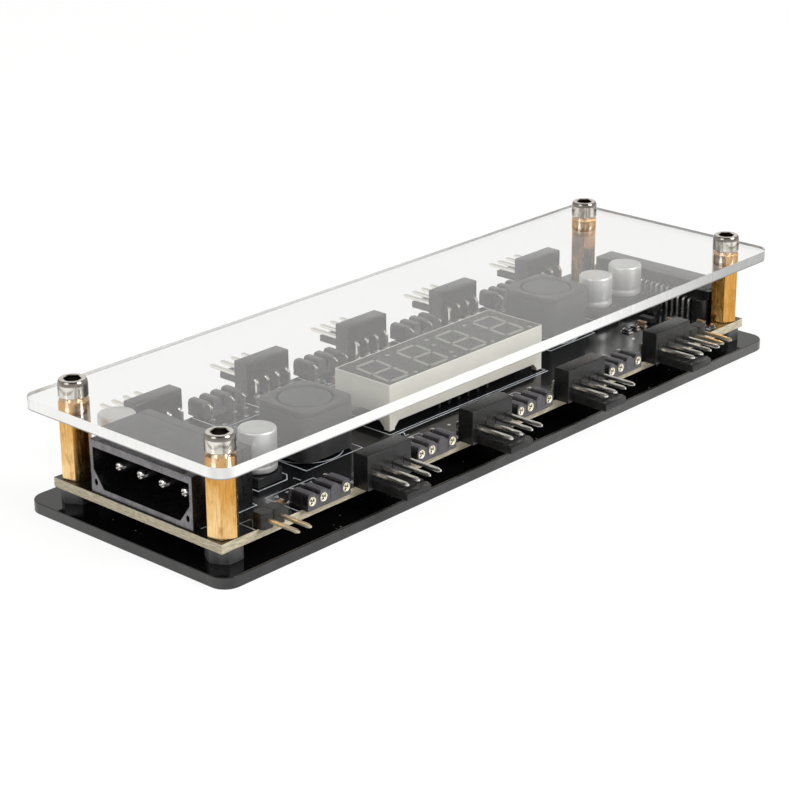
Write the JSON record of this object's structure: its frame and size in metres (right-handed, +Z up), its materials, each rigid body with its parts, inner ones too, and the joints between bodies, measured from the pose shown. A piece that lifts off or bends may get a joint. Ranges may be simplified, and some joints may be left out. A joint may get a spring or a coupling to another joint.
{
  "type": "pc fan controller hub",
  "caption": "Slim fan and light controller hub: a black circuit board ringed with pin headers and sockets, held on brass standoffs between a black base plate and a clear cover plate.",
  "frame": {"origin": "centre of the base plate's underside", "axes": "+X along the plates, from the power inlet to the drive power header; -Y towards the side with four fan headers; +Z up, from the base plate to the cover plate"},
  "size_m": [0.143, 0.0598, 0.0227],
  "materials": {
    "black_acrylic": "black acrylic sheet with a mirror-like polish",
    "clear_acrylic": "clear acrylic sheet, polished",
    "solder_mask": "glass-fibre board under a black satin solder mask",
    "brass": "drawn hexagonal brass, bright",
    "nickel": "nickel-plated steel, polished",
    "black_nylon": "black nylon, satin",
    "black_plastic": "moulded black plastic, satin",
    "tin": "tin-plated brass, bright",
    "cream_plastic": "moulded cream-white plastic",
    "grey_face": "printed grey display face, satin",
    "ferrite": "pressed dark grey ferrite, matt",
    "aluminium": "drawn aluminium can, satin"
  },
  "bodies": {
    "root": {"base_plate": "black_acrylic", "cover_plate": "clear_acrylic", "circuit_board": "solder_mask", "standoff_1": "brass", "standoff_2": "brass", "standoff_3": "brass", "standoff_4": "brass", "cover_screw_1": "nickel", "cover_screw_2": "nickel", "cover_screw_3": "nickel", "cover_screw_4": "nickel", "base_screw_1": "nickel", "base_screw_2": "nickel", "base_screw_3": "nickel", "base_screw_4": "nickel", "base_spacer_1": "black_nylon", "base_spacer_2": "black_nylon", "base_spacer_3": "black_nylon", "base_spacer_4": "black_nylon", "power_inlet": "black_plastic", "fan_header_1": "black_plastic", "fan_header_2": "black_plastic", "fan_header_3": "black_plastic", "fan_header_4": "black_plastic", "fan_header_5": "black_plastic", "fan_header_6": "black_plastic", "fan_header_7": "black_plastic", "fan_header_8": "black_plastic", "fan_header_9": "black_plastic", "light_socket_1": "black_plastic", "light_socket_2": "black_plastic", "light_socket_3": "black_plastic", "light_socket_4": "black_plastic", "light_socket_5": "black_plastic", "light_socket_6": "black_plastic", "light_socket_7": "black_plastic", "light_socket_8": "black_plastic", "small_header_1": "black_plastic", "small_header_2": "black_plastic", "controller_chip": "black_plastic", "drive_power_header": "black_plastic", "capacitor_base_1": "black_plastic", "capacitor_base_2": "black_plastic", "capacitor_base_3": "black_plastic", "capacitor_base_4": "black_plastic", "power_pin_1": "tin", "power_pin_2": "tin", "power_pin_3": "tin", "power_pin_4": "tin", "display_body": "cream_plastic", "display_face": "grey_face", "inductor_1": "ferrite", "inductor_2": "ferrite", "capacitor_can_1": "aluminium", "capacitor_can_2": "aluminium", "capacitor_can_3": "aluminium", "capacitor_can_4": "aluminium"}
  },
  "joints": []
}
